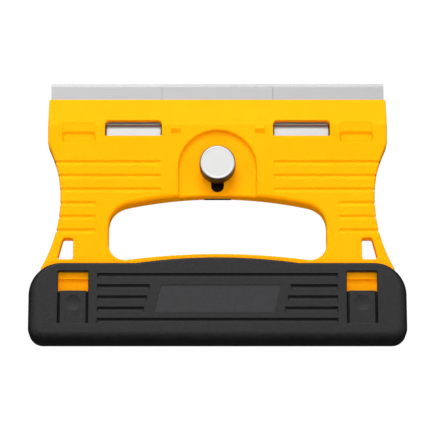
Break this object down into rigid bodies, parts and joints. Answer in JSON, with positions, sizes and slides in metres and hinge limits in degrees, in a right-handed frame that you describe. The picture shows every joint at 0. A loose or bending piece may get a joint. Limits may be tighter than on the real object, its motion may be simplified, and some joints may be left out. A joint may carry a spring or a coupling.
{
  "type": "window scraper",
  "caption": "Wide hand scraper: sliding blade row clamped by a knurled knob in a yellow body with a finger hole, and a black pull-off cover on the handle.",
  "frame": {"origin": "middle of the bounding box on the plane the tool lies on, back down", "axes": "+X across the blade row, +Y from the handle towards the blade edges, +Z out of the front face with the knob"},
  "size_m": [0.1328, 0.0966, 0.0153],
  "materials": {
    "yellow_shell": "satin moulded yellow plastic",
    "black_cover": "finely textured matte black plastic",
    "blade_steel": "ground blade steel",
    "spring_steel": "bright stainless sheet",
    "carrier_steel": "blackened steel plate",
    "zinc_screw": "zinc plated",
    "turned_aluminium": "turned face, knurled rim"
  },
  "bodies": {
    "body": {"front_shell": "yellow_shell", "rear_shell": "yellow_shell", "shell_screws": "zinc_screw", "bar_screws": "zinc_screw"},
    "carrier": {"blade_carrier": "carrier_steel", "clamp_plate": "spring_steel", "clamp_screws": "zinc_screw", "blade_pins": "spring_steel", "blade_left": "blade_steel", "blade_middle": "blade_steel", "blade_right": "blade_steel", "clamp_nut": "zinc_screw"},
    "washer": {"knob_washer": "zinc_screw"},
    "knob": {"knob": "turned_aluminium", "knob_stud": "zinc_screw"},
    "cover": {"safety_cover": "black_cover"},
    "tongue_left": {"cover_tongue_left": "black_cover"},
    "tongue_right": {"cover_tongue_right": "black_cover"}
  },
  "joints": [
    {"name": "carrier_slide", "type": "slide", "parent": "body", "child": "carrier", "axis": [0, -1, 0], "range_m": [0, 0.0069]},
    {"name": "knob_lift", "type": "slide", "parent": "carrier", "child": "washer", "axis": [0, 0, 1], "range_m": [0, 0.0007]},
    {"name": "knob_turn", "type": "hinge", "parent": "washer", "child": "knob", "pos_m": [0, 0.01555, 0.0093], "axis": [0, 0, 1], "range_deg": [0, 360]},
    {"name": "cover_slide", "type": "slide", "parent": "body", "child": "cover", "axis": [0, -1, 0], "range_m": [0, 0.035]},
    {"name": "tongue_left_flex", "type": "hinge", "parent": "cover", "child": "tongue_left", "pos_m": [-0.05065, -0.0421, 0.0119], "axis": [1, 0, 0], "range_deg": [0, 6], "stiffness_Nm_per_rad": 0.05},
    {"name": "tongue_right_flex", "type": "hinge", "parent": "cover", "child": "tongue_right", "pos_m": [0.05065, -0.0421, 0.0119], "axis": [1, 0, 0], "range_deg": [0, 6], "stiffness_Nm_per_rad": 0.05}
  ],
  "couplings": [
    {"joint": "knob_turn", "follows": "knob_lift", "rad_per_m": 8975.9}
  ]
}
